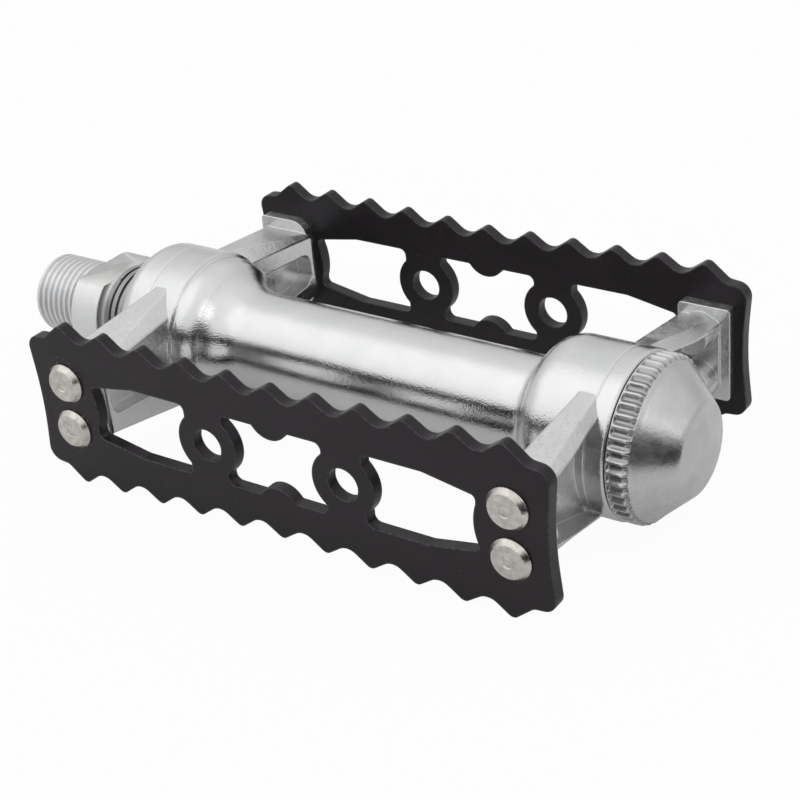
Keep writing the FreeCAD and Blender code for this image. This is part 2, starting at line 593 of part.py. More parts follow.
def dust_cap():
    """Hollow conical cap with a fluted rim, screwed into the outboard end of the body."""
    rim0, rim1 = CAP_KNURL_X
    run, drop = CAP_SHOULDER
    shape = turned([
        (CAP_BORE_X + 0.2, CAP_SPIGOT_BORE_R, 0), (CAP_BORE_X + 0.2, CAP_BORE_R, 0), (rim0, CAP_BORE_R, 0),
        (rim0, CAP_KNURL_R, 0.2), (rim1, CAP_KNURL_R, 1.0), (rim1 + run, CAP_KNURL_R - drop, 0),
        (CAP_CONE_END_X, CAP_CONE_END_R, 2.6), (CAP_NOSE_X, CAP_NOSE_R, 3.0), (CAP_NOSE_X, 0, 0),
        (CAP_NOSE_X - CAP_WALL, 0, 0), (CAP_NOSE_X - CAP_WALL, CAP_NOSE_R, 2.0),
        (CAP_CONE_END_X - 1.35, CAP_CONE_END_R - 0.85, 4.0), (rim1, CAP_SPIGOT_BORE_R, 0.6)])
    start, finish = rim0 + CAP_FLUTE_ENDS[0], rim1 + CAP_FLUTE_ENDS[1]
    flute = Part.makeCylinder(CAP_FLUTE_R, finish - start, V(start, 0, CAP_KNURL_R - CAP_FLUTE_SINK), AXIS_X)
    flutes = []
    for i in range(CAP_FLUTES):
        cut = flute.copy()
        cut.rotate(ORIGIN, AXIS_X, 360.0 * i / CAP_FLUTES)
        flutes.append(cut)
    return tidy(shape.cut(Part.makeCompound(flutes)))


def pieces():
    """Every physical piece by its name."""
    plate = cage_plate()
    out = {"pedal_body": pedal_body(), "cage_rear": plate, "cage_front": mirrored(plate)}
    for name, x, side, z in rivet_places():
        out[name] = rivet(x, side, z)
    out["inner_cup"] = inner_cup()
    out["outer_cup"] = outer_cup()
    out.update(balls("inner_ball", INNER_BALL_X, INNER_BALL_CIRCLE_R, INNER_BALL_COUNT))
    out.update(balls("outer_ball", OUTER_BALL_X, OUTER_BALL_CIRCLE_R, OUTER_BALL_COUNT))
    out["spindle"] = spindle()
    out["outer_cone"] = outer_cone()
    out["lock_washer"] = lock_washer()
    out["lock_nut"] = lock_nut()
    out["dust_seal"] = dust_seal()
    out["dust_cap"] = dust_cap()
    return out


def main():
    """Writes one STEP file per piece."""
    os.makedirs("parts", exist_ok=True)
    for name, shape in pieces().items():
        solids = shape.Solids
        print("%-28s solids %d valid %s volume %.1f" % (name, len(solids), shape.isValid(), shape.Volume))
        solids[0].exportStep("parts/%s.step" % name)


main()
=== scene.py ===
"""Looks of a touring pedal: finishes, crank thread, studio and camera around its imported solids."""

import logging
import math
from dataclasses import dataclass, field
from enum import Enum
from typing import Sequence, Union

import bmesh
import bpy
from mathutils import Matrix, Vector

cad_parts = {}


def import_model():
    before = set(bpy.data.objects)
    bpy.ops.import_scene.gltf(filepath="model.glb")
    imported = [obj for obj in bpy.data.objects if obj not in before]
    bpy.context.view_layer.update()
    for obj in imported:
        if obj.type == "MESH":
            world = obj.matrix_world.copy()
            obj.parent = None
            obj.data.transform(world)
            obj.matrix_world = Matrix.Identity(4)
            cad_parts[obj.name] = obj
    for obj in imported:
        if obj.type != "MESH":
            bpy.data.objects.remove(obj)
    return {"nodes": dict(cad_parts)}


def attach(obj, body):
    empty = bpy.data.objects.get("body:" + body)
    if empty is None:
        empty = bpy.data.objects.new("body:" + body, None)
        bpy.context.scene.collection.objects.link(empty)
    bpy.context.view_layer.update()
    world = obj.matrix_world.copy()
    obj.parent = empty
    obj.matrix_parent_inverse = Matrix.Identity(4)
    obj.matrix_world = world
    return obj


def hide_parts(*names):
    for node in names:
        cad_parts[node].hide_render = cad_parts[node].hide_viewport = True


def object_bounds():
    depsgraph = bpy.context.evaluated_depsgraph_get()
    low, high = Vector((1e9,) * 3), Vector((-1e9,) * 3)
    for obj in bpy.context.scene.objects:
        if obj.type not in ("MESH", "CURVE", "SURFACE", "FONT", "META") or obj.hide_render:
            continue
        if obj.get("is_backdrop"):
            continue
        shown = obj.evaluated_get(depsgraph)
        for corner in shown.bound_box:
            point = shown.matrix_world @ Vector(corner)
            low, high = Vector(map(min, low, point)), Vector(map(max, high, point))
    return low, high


LOG = logging.getLogger("touring_pedal")
MM = 0.001
SHARP_EDGE = math.radians(16.0)
FLUTE_EDGE = math.radians(40.0)
EDGE_SAMPLES = 6
# Agreement of soft and true normal at which an edge begins and at which it is full.
EDGE_MATCH = (0.995, 0.9)
CORNER_SAMPLES = 8
# Nearly all of a noise pattern lies between these two.
NOISE_MIDDLE = (0.3, 0.7)
CLOUD_OCTAVES = 4.0
PATCH_OCTAVES = 3.0
PLATE_CENTRE_X_MM = 63.0
RIVET_APART_X_MM = 42.15
RIVET_APART_Z_MM = 4.26
WHITE = (1.0, 1.0, 1.0)
Mesh = bpy.types.Mesh
Node = bpy.types.Node
Socket = bpy.types.NodeSocket
Value = Union[Node, Socket, float, int, Sequence[float]]
Solids = dict[str, bpy.types.Object]
Triple = tuple[float, float, float]
Pair = tuple[float, float]
# Where a change starts and ends, and the results at both places.
Ramp = tuple[float, float, float, float]


class Body(Enum):
    """Bodies of the pedal that turn against each other."""

    PLATFORM = "platform"
    SPINDLE_SET = "spindle_set"


class Slot(Enum):
    """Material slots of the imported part."""

    CAST_BODY = "cast_body"
    CAGE_PAINT = "cage_paint"
    RIVET_STEEL = "rivet_steel"
    SPINDLE_STEEL = "spindle_steel"
    BEARING_STEEL = "bearing_steel"
    HARDWARE_STEEL = "hardware_steel"
    CAP_CHROME = "cap_chrome"
    SEAL_BLACK = "seal_black"


@dataclass(frozen=True)
class Grain:
    """Noise pattern: how fine it is, its octaves, the depth of its relief, swirl and stretch."""

    per_mm: float
    octaves: float
    depth_mm: float = 0.0
    swirl: float = 0.0
    stretch: Triple | None = None


@dataclass(frozen=True)
class Look:
    """What every finish has: clouded colour, uneven roughness, soft edges and grain; the edge colour
    is a painted highlight.
    """

    slot: Slot
    colour: Triple
    shade: Triple
    roughness: Pair
    metallic: float = 1.0
    clouds_per_mm: float = 0.5
    patches_per_mm: float = 1.0
    edge_mm: float = 0.15
    edge_highlight_colour: Triple = (0.90, 0.90, 0.89)
    edge_highlight_share: float = 1.0
    grains: tuple[Grain, ...] = (Grain(3.0, 2.0, 0.006),)


class Graph:
    """Nodes of one tree, added and joined by short calls; a node stands for its first output."""

    def __init__(self, tree: bpy.types.NodeTree) -> None:
        """Starts an empty graph.

        Args:
            tree: Node tree whose nodes are made anew.
        """
        self.tree = tree
        self.tree.nodes.clear()

    def add(self, kind: str, inputs: dict[Union[str, int], Value] | None = None,
            **settings: object) -> Node:
        """Adds a node and returns it.

        Args:
            kind: Blender's name of the node type.
            inputs: What its inputs take, by name or place.
            settings: Properties of the node.
        """
        node = self.tree.nodes.new(kind)
        for name, value in settings.items():
            setattr(node, name, value)
        for key, value in (inputs or {}).items():
            self.put(node.inputs[key], value)
        return node

    def put(self, socket: Socket, value: Value) -> None:
        """Links something to an input, or sets the input's own value.

        Args:
            socket: Input that takes the value.
            value: Node, output socket, number or colour.
        """
        if isinstance(value, Node):
            value = value.outputs[0]
        if isinstance(value, Socket):
            self.tree.links.new(value, socket)
        elif socket.type == "RGBA":
            socket.default_value = (*value[:3], 1.0)
        else:
            socket.default_value = value

    def maths(self, operation: str, first: Value, second: Value = 0.0) -> Node:
        """Adds a Math node and returns it.

        Args:
            operation: Blender's name of the operation.
            first: First operand.
            second: Second operand.
        """
        return self.add("ShaderNodeMath", {0: first, 1: second}, operation=operation)

    def length(self, first: Value, second: Value) -> Node:
        """Returns the length of a flat vector.

        Args:
            first: Its first part.
            second: Its second part.
        """
        squares = [self.maths("MULTIPLY", part, part) for part in (first, second)]
        return self.maths("SQRT", self.maths("ADD", *squares))

    def along(self, first: Value, second: Value) -> Socket:
        """Returns the dot product of two directions.

        Args:
            first: First direction.
            second: Second direction.
        """
        node = self.add("ShaderNodeVectorMath", {0: first, 1: second}, operation="DOT_PRODUCT")
        return node.outputs["Value"]

    def split(self, vector: Value) -> list[Socket]:
        """Returns the x, y and z of a vector.

        Args:
            vector: Node or socket of the vector.
        """
        return list(self.add("ShaderNodeSeparateXYZ", {0: vector}).outputs)

    def span(self, value: Value, start: float, end: float, low: float = 0.0, high: float = 1.0,
             smooth: bool = False) -> Node:
        """Maps a value from one range to another, keeps it inside, and returns the result.

        Args:
            value: Value to map.
            start: Value that becomes low.
            end: Value that becomes high.
            low: Result at the start.
            high: Result at the end.
            smooth: Whether the change eases in and out.
        """
        inputs = {"Value": value, "From Min": start, "From Max": end, "To Min": low,
                  "To Max": high}
        kind = "SMOOTHSTEP" if smooth else "LINEAR"
        return self.add("ShaderNodeMapRange", inputs, interpolation_type=kind)

    def mix(self, share: Value, first: Value, second: Value) -> Node:
        """Mixes two numbers and returns the result.

        Args:
            share: 0 gives the first, 1 the second.
            first: First number.
            second: Second number.
        """
        return self.add("ShaderNodeMix", {0: share, 2: first, 3: second}, data_type="FLOAT")


class Shading(Graph):
    """Shader nodes of one finish, laid over one another; the outcome stands in its inputs."""

    def __init__(self, tree: bpy.types.NodeTree, look: Look) -> None:
        """Draws what every finish has.

        Args:
            tree: Node tree of the material.
            look: Colours, roughness and edges of the finish.
        """
        super().__init__(tree)
        self.coordinates = self.add("ShaderNodeTexCoord").outputs
        scaled = {0: self.coordinates["Object"], "Scale": 1.0 / MM}
        self.place_mm = self.add("ShaderNodeVectorMath", scaled, operation="SCALE")
        self.x, self.y, self.z = self.split(self.place_mm)
        bevel = self.add("ShaderNodeBevel", {"Radius": look.edge_mm * MM}, samples=EDGE_SAMPLES)
        true_normal = self.add("ShaderNodeNewGeometry").outputs["Normal"]
        # Edge mask, which the finishes tint lighter as a painted highlight along the edges.
        edge = self.span(self.along(bevel, true_normal), *EDGE_MATCH)
        self.edge = self.maths("MULTIPLY", edge, look.edge_highlight_share)
        patch = self.noise(Grain(look.patches_per_mm, PATCH_OCTAVES))
        self.inputs = {"Base Color": look.colour, "Metallic": look.metallic, "Normal": bevel,
                       "Roughness": self.span(patch, *NOISE_MIDDLE, *look.roughness)}
        cloud = self.noise(Grain(look.clouds_per_mm, CLOUD_OCTAVES))
        self.tint(self.span(cloud, *NOISE_MIDDLE), look.shade)

    def noise(self, grain: Grain) -> Node:
        """Adds a noise pattern, about 0.5 at its middle, and returns it.

        Args:
            grain: Kind of noise.
        """
        place = self.place_mm
        if grain.stretch:
            place = self.add("ShaderNodeMapping", {"Vector": place, "Scale": grain.stretch})
        return self.add("ShaderNodeTexNoise", {"Vector": place, "Scale": grain.per_mm,
                                               "Detail": grain.octaves,
                                               "Distortion": grain.swirl})

    def tint(self, share: Value, colour: Triple) -> None:
        """Lays a colour over what is drawn so far.

        Args:
            share: Mask of the colour, from 0 to 1.
            colour: Colour to lay on.
        """
        mixed = self.add("ShaderNodeMix", {0: share, 6: self.inputs["Base Color"], 7: colour},
                         data_type="RGBA")
        self.inputs["Base Color"] = mixed.outputs[2]

    def bump(self, height: Value, depth_mm: float) -> None:
        """Lays a relief over what is drawn so far.

        Args:
            height: Pattern from 0 to 1.
            depth_mm: Depth that 1 stands for.
        """
        relief = {"Height": height, "Distance": depth_mm * MM, "Strength": 1.0,
                  "Normal": self.inputs["Normal"]}
        self.inputs["Normal"] = self.add("ShaderNodeBump", relief)

    def grain(self, grains: Sequence[Grain]) -> None:
        """Lays reliefs of noise over what is drawn so far.

        Args:
            grains: Kinds of noise, with their depths.
        """
        for grain in grains:
            self.bump(self.noise(grain), grain.depth_mm)

    def shade_mask(self, reach_mm: float, ramp: Ramp) -> Node:
        """Returns a mask of corners and grooves from ambient occlusion, for painted shade.

        Args:
            reach_mm: How far a wall may stand away and still count.
            ramp: Openness at which the mask starts and ends, and its values there.
        """
        node = self.add("ShaderNodeAmbientOcclusion", {"Distance": reach_mm * MM},
                        samples=CORNER_SAMPLES)
        return self.span(node.outputs["AO"], *ramp)

    def from_rivet(self) -> Node:
        """Returns the distance from the axis of the nearest rivet, in millimetres."""
        middle = self.maths("ABSOLUTE", self.maths("SUBTRACT", self.x, PLATE_CENTRE_X_MM))
        across = self.maths("SUBTRACT", middle, RIVET_APART_X_MM)
        upright = self.maths("SUBTRACT", self.maths("ABSOLUTE", self.z), RIVET_APART_Z_MM)
        return self.length(across, upright)


@dataclass(frozen=True)
class Finish(Look):
    """A finish that becomes one node material: plain, with its grain only."""

    def make(self) -> bpy.types.Material:
        """Returns the finish as a material."""
        material = bpy.data.materials.new(self.slot.value)
        material.use_nodes = True
        graph = Shading(material.node_tree, self)
        self.paint(graph)
        shader = graph.add("ShaderNodeBsdfPrincipled", graph.inputs)
        graph.add("ShaderNodeOutputMaterial", {"Surface": shader})
        return material

    def paint(self, graph: Shading) -> None:
        """Draws what is special to the finish.

        Args:
            graph: Graph of the material.
        """
        graph.grain(self.grains)


@dataclass(frozen=True)
class PolishedCasting(Finish):
    """Die-cast alloy: the turned body is polished, the arms keep the skin of the mould."""

    clouds_per_mm: float = 0.16
    patches_per_mm: float = 0.25
    edge_mm: float = 0.35
    edge_highlight_share: float = 0.35
    grains: tuple[Grain, ...] = (Grain(0.5, 2.0, 0.018), Grain(3.7, 2.5, 0.038))
    side_roughness: Pair = (0.16, 0.27)
    arm_roughness: Pair = (0.34, 0.48)
    arm_span_mm: Pair = (10.5, 13.5)
    level_span: Pair = (0.45, 0.80)
    side_relief: float = 0.35
    patch: Grain = Grain(0.7, 4.0)
    mottle: Grain = Grain(0.9, 5.0, swirl=0.6)
    mottle_ramp: Ramp = (0.42, 0.62, 0.0, 0.5)
    mottle_colour: Triple = (0.60, 0.605, 0.61)
    skin: Grain = Grain(1.5, 3.0, 0.050)
    pits: Grain = Grain(1.7, 3.0, 0.060)
    pit_span: Pair = (0.60, 0.70)

    def paint(self, graph: Shading) -> None:
        """Draws orange peel, a painted highlight on the edges, and a rougher, pebbled and pitted
        skin on the arms.

        Args:
            graph: Graph of the material.
        """
        arm = graph.span(graph.maths("ABSOLUTE", graph.y), *self.arm_span_mm, smooth=True)
        _, _, upward = graph.split(graph.coordinates["Normal"])
        level = graph.span(graph.maths("ABSOLUTE", upward), *self.level_span)
        patch = graph.noise(self.patch)
        side = graph.span(patch, *NOISE_MIDDLE, *self.side_roughness)
        matte = graph.mix(level, side, graph.span(patch, *NOISE_MIDDLE, *self.arm_roughness))
        graph.inputs["Roughness"] = graph.mix(arm, graph.inputs["Roughness"], matte)
        spots = graph.span(graph.noise(self.mottle), *self.mottle_ramp)
        graph.tint(graph.maths("MULTIPLY", arm, spots), self.mottle_colour)
        # Painted highlight along the edges.
        graph.tint(graph.edge, self.edge_highlight_colour)
        graph.grain(self.grains)
        rough = graph.maths("MULTIPLY", arm, graph.mix(level, self.side_relief, 1.0))
        graph.bump(graph.maths("MULTIPLY", graph.noise(self.skin), rough), self.skin.depth_mm)
        pits = graph.span(graph.noise(self.pits), *self.pit_span)
        graph.bump(graph.maths("MULTIPLY", pits, rough), self.pits.depth_mm)


@dataclass(frozen=True)
class SatinPaint(Finish):
    """Satin black paint on stamped plate, chipped round the rivets; edges pale from wear and painted
    highlight.
    """

    metallic: float = 0.0
    clouds_per_mm: float = 0.12
    patches_per_mm: float = 0.4
    edge_mm: float = 0.45
    edge_highlight_colour: Triple = (0.090, 0.087, 0.093)
    grains: tuple[Grain, ...] = (Grain(1.2, 2.0, 0.012), Grain(5.0, 1.0, 0.002))
    edge_wear_and_highlight_noise: Grain = Grain(1.4, 3.0)
    edge_wear_and_highlight_ramp: Ramp = (0.38, 0.62, 0.30, 1.0)
    sheen: float = 0.36
    sheen_colour: Triple = (1.0, 0.93, 1.0)
    chip_colour: Triple = (0.46, 0.40, 0.31)
    chip: Grain = Grain(3.1, 2.0)
    chip_span: Pair = (0.66, 0.70)
    chip_ring_mm: Ramp = (3.5, 5.0, 1.0, 0.0)
    chip_inboard_mm: Ramp = (40.0, 60.0, 1.0, 0.1)
    dust: Grain = Grain(4.4, 1.0)
    dust_ramp: Ramp = (0.76, 0.80, 0.0, 0.35)

    def paint(self, graph: Shading) -> None:
        """Draws orange peel, pale edges of worn paint and painted highlight, dust and chips.

        Args:
            graph: Graph of the material.
        """
        # Pale edges broken up by noise: partly worn paint, partly a painted highlight.
        rubbed_and_highlit = graph.span(graph.noise(self.edge_wear_and_highlight_noise), *self.edge_wear_and_highlight_ramp)
        graph.tint(graph.maths("MULTIPLY", graph.edge, rubbed_and_highlit), self.edge_highlight_colour)
        ring = graph.span(graph.from_rivet(), *self.chip_ring_mm)
        inboard = graph.span(graph.x, *self.chip_inboard_mm)
        chips = graph.span(graph.noise(self.chip), *self.chip_span)
        chips = graph.maths("MULTIPLY", chips, graph.maths("MULTIPLY", ring, inboard))
        dust = graph.span(graph.noise(self.dust), *self.dust_ramp)
        graph.tint(graph.maths("MAXIMUM", chips, dust), self.chip_colour)
        graph.grain(self.grains)
        graph.inputs["Specular IOR Level"] = self.sheen
        graph.inputs["Specular Tint"] = self.sheen_colour


@dataclass(frozen=True)
class TurnedHead(Finish):
    """Nickelled rivet steel with fine rings from the setting tool."""

    clouds_per_mm: float = 0.9
    patches_per_mm: float = 1.2
    edge_mm: float = 0.18
    edge_highlight_colour: Triple = (0.86, 0.83, 0.79)
    edge_highlight_share: float = 0.5
    grains: tuple[Grain, ...] = (Grain(2.8, 3.0, 0.02),)
    ring_pitch_mm: float = 0.42
    ring_depth_mm: float = 0.006
    # Painted shade in grooves and corners: its colour, reach and ramp.
    groove_shade_colour: Triple = (0.16, 0.145, 0.13)
    groove_shade_reach_mm: float = 0.9
    groove_shade_ramp: Ramp = (0.75, 0.35, 0.0, 0.9)

    def paint(self, graph: Shading) -> None:
        """Draws rings, painted shade in the grooves, and a painted highlight on the edges.

        Args:
            graph: Graph of the material.
        """
        phase = graph.maths("MULTIPLY", graph.from_rivet(), 2.0 * math.pi / self.ring_pitch_mm)
        # Painted shade where ambient occlusion finds grooves and corners.
        graph.tint(graph.shade_mask(self.groove_shade_reach_mm, self.groove_shade_ramp), self.groove_shade_colour)
        # Painted highlight along the edges.
        graph.tint(graph.edge, self.edge_highlight_colour)
        graph.bump(graph.span(graph.maths("SINE", phase), -1.0, 1.0), self.ring_depth_mm)
        graph.grain(self.grains)


@dataclass(frozen=True)
class ZincSteel(Finish):
    """Bright zinc plate on turned steel, with faint turning lines round the axis."""

    clouds_per_mm: float = 0.7
    patches_per_mm: float = 0.6
    edge_mm: float = 0.14
    edge_highlight_colour: Triple = (0.93, 0.93, 0.93)
    edge_highlight_share: float = 0.45
    grains: tuple[Grain, ...] = (Grain(2.2, 2.0, 0.008),)
    tint: Triple = (0.74, 0.75, 0.77)
    tinted: Grain = Grain(0.22, 2.0)
    tint_span: Pair = (0.45, 0.65)
    line: Grain = Grain(5.0, 2.0, 0.006)
    # Painted shade in the thread roots.
    root_shade_colour: Triple = (0.17, 0.17, 0.17)
    root_shade_reach_mm: float = 1.2
    root_shade_ramp: Ramp = (0.8, 0.3, 0.0, 0.45)
    # Painted shade over the neck, darker from x 6.5 mm on.
    neck_shade_colour: Triple = (0.20, 0.20, 0.20)
    neck_shade_ramp_mm: Ramp = (6.5, 6.9, 0.0, 0.7)

    def paint(self, graph: Shading) -> None:
        """Draws turning lines, a cold tint in places, painted shade in the roots and over the neck,
        and a painted edge highlight.

        Args:
            graph: Graph of the material.
        """
        along = {"W": graph.x, "Scale": self.line.per_mm, "Detail": self.line.octaves}
        lines = graph.add("ShaderNodeTexNoise", along, noise_dimensions="1D")
        graph.tint(graph.span(graph.noise(self.tinted), *self.tint_span), self.tint)
        # Painted shade where ambient occlusion finds the thread roots.
        graph.tint(graph.shade_mask(self.root_shade_reach_mm, self.root_shade_ramp), self.root_shade_colour)
        # Painted shade over the neck, darker from x 6.5 mm on.
        graph.tint(graph.span(graph.x, *self.neck_shade_ramp_mm), self.neck_shade_colour)
        # Painted highlight along the edges.
        graph.tint(graph.edge, self.edge_highlight_colour)
        graph.bump(lines, self.line.depth_mm)
        graph.grain(self.grains)


@dataclass(frozen=True)
class SatinChrome(Finish):
    """Satin chrome of the cap: fine pebbles on the cone, painted shade in the flutes of its rim."""

    clouds_per_mm: float = 0.35
    patches_per_mm: float = 0.5
    edge_mm: float = 0.2
    edge_highlight_colour: Triple = (0.95, 0.95, 0.95)
    edge_highlight_share: float = 0.4
    grains: tuple[Grain, ...] = (Grain(1.7, 2.0, 0.018), Grain(5.5, 1.0, 0.004))
    # Painted shade in the flutes: its colour, radii and share along the rim.
    flute_shade_colour: Triple = (0.17, 0.17, 0.17)
    flute_shade_span_mm: Pair = (13.18, 12.80)
    flute_shade_ramp_mm: Ramp = (113.3, 113.4, 0.50, 0.0)
    matte_ramp_mm: Ramp = (3.0, 13.3, 0.0, 0.06)

    def paint(self, graph: Shading) -> None:
        """Draws pebbles, painted shade in the flutes, a painted highlight on the edges and a rougher
        rim.

        Args:
            graph: Graph of the material.
        """
        radius = graph.length(graph.y, graph.z)
        # Painted shade in the flutes: darker below the land radius, on the rim only.
        flutes = graph.span(radius, *self.flute_shade_span_mm)
        rim = graph.span(graph.x, *self.flute_shade_ramp_mm)
        graph.tint(graph.maths("MULTIPLY", flutes, rim), self.flute_shade_colour)
        # Painted highlight along the edges, which makes the lands bright.
        graph.tint(graph.edge, self.edge_highlight_colour)
        matte = graph.span(radius, *self.matte_ramp_mm)
        graph.inputs["Roughness"] = graph.maths("ADD", graph.inputs["Roughness"], matte)
        graph.grain(self.grains)


FINISHES: tuple[Finish, ...] = (
    PolishedCasting(Slot.CAST_BODY, (0.70, 0.70, 0.695), (0.64, 0.645, 0.65), (0.09, 0.16)),
    SatinPaint(Slot.CAGE_PAINT, (0.0046, 0.0034, 0.0044), (0.0076, 0.0060, 0.0074), (0.28, 0.40)),
    TurnedHead(Slot.RIVET_STEEL, (0.70, 0.67, 0.63), (0.47, 0.445, 0.41), (0.16, 0.28)),
    ZincSteel(Slot.SPINDLE_STEEL, (0.76, 0.76, 0.75), (0.70, 0.70, 0.69), (0.33, 0.45)),
    Finish(Slot.BEARING_STEEL, (0.66, 0.66, 0.67), (0.52, 0.52, 0.54), (0.12, 0.24)),
    Finish(Slot.HARDWARE_STEEL, (0.62, 0.62, 0.61), (0.48, 0.48, 0.47), (0.26, 0.42),
           grains=(Grain(3.0, 2.0, 0.006, stretch=(0.2, 1.0, 1.0)),)),
    SatinChrome(Slot.CAP_CHROME, (0.60, 0.60, 0.595), (0.53, 0.53, 0.53), (0.19, 0.28)),
    Finish(Slot.SEAL_BLACK, (0.38, 0.38, 0.385), (0.28, 0.28, 0.285), (0.45, 0.65), metallic=0.0,
           clouds_per_mm=0.9, patches_per_mm=1.5, grains=(Grain(4.0, 2.0, 0.02),)),
)


def placed(name: str, data: bpy.types.ID) -> bpy.types.Object:
    """Returns a new object of the scene.

    Args:
        name: Name of the object.
        data: Its mesh, light or camera.
    """
    made = bpy.data.objects.new(name, data)
    bpy.context.scene.collection.objects.link(made)
    return made


def as_mesh(shape: bmesh.types.BMesh, name: str) -> Mesh:
    """Turns the faces of a shape outwards and returns it as a mesh.

    Args:
        shape: Shape, which is used up.
        name: Name of the mesh.
    """
    bmesh.ops.recalc_face_normals(shape, faces=shape.faces)
    mesh = bpy.data.meshes.new(name)
    shape.to_mesh(mesh)
    shape.free()
    return mesh


class Paintwork:
    """The finishes of the pedal, each made once, and given to nodes and pieces by slot."""

    def __init__(self) -> None:
        """Makes every finish."""
        self.materials = {finish.slot: finish.make() for finish in FINISHES}

    def coat(self, piece: bpy.types.Object, slot: Slot) -> None:
        """Gives a piece or a solid one finish all over.

        Args:
            piece: Object with a mesh.
            slot: Finish that it takes.
        """
        if not piece.material_slots:
            piece.data.materials.append(self.materials[slot])
        for place in piece.material_slots:
            place.material = self.materials[slot]


@dataclass
class SolidGroup:
    """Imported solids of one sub-assembly whose shape stays as it is."""

    name: str
    slot: Slot
    prefixes: tuple[str, ...]

    def dress(self, nodes: Solids, paintwork: Paintwork) -> None:
        """Gives the solids their finish.

        Args:
            nodes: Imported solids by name.
            paintwork: Finishes of the pedal.
        """
        found = [name for name in sorted(nodes) if name.startswith(self.prefixes)]
        for name in found:
            paintwork.coat(nodes[name], self.slot)
        LOG.info("%s: %d solids in %s", self.name, len(found), self.slot.value)


class RuleTree(Graph):
    """Geometry Nodes tree with named inputs, run once and kept as a plain mesh."""

    def __init__(self, name: str, sizes: dict[str, float]) -> None:
        """Starts a tree with its inputs and its output.

        Args:
            name: Name of the tree.
            sizes: Value of each named input.
        """
        super().__init__(bpy.data.node_groups.new(name, "GeometryNodeTree"))
        self.socket("Geometry", "INPUT", "NodeSocketGeometry")
        self.values = {self.socket(key, "INPUT", "NodeSocketFloat"): value
                       for key, value in sizes.items()}
        self.finish = self.socket("Finish", "INPUT", "NodeSocketMaterial")
        self.socket("Geometry", "OUTPUT", "NodeSocketGeometry")
        self.given = self.add("NodeGroupInput").outputs

    def socket(self, name: str, side: str, kind: str) -> str:
        """Adds an input or output to the tree and returns its identifier.

        Args:
            name: Name of the socket.
            side: INPUT or OUTPUT.
            kind: Blender's name of the socket type.
        """
        made = self.tree.interface.new_socket(name=name, in_out=side, socket_type=kind)
        return made.identifier

    def place(self) -> list[Socket]:
        """Returns the x, y and z of each point."""
        return self.split(self.add("GeometryNodeInputPosition"))

    def move(self, shape: Value, x: Value, y: Value, z: Value) -> Node:
        """Returns the shape with its points at new places.

        Args:
            shape: Geometry to move.
            x: New x of each point.
            y: New y of each point.
            z: New z of each point.
        """
        place = self.add("ShaderNodeCombineXYZ", {"X": x, "Y": y, "Z": z})
        return self.add("GeometryNodeSetPosition", {"Geometry": shape, "Position": place})

    def end(self, shape: Value) -> None:
        """Makes instances real, gives the shape its finish and ends the tree.

        Args:
            shape: Finished geometry.
        """
        real = self.add("GeometryNodeRealizeInstances", {"Geometry": shape})
        coat = {"Geometry": real, "Material": self.given["Finish"]}
        self.add("NodeGroupOutput", {0: self.add("GeometryNodeSetMaterial", coat)})

    def run(self, mesh: Mesh, material: bpy.types.Material) -> Mesh:
        """Runs the tree on a mesh and returns the result as a plain mesh.

        Args:
            mesh: Mesh that it starts from.
            material: Finish of the result.
        """
        holder = placed(self.tree.name, mesh)
        modifier = holder.modifiers.new("rule", "NODES")
        modifier.node_group = self.tree
        for identifier, value in self.values.items():
            modifier[identifier] = value
        modifier[self.finish] = material
        graph = bpy.context.evaluated_depsgraph_get()
        result = bpy.data.meshes.new_from_object(holder.evaluated_get(graph))
        holder.modifiers.clear()
        bpy.data.objects.remove(holder)
        return result


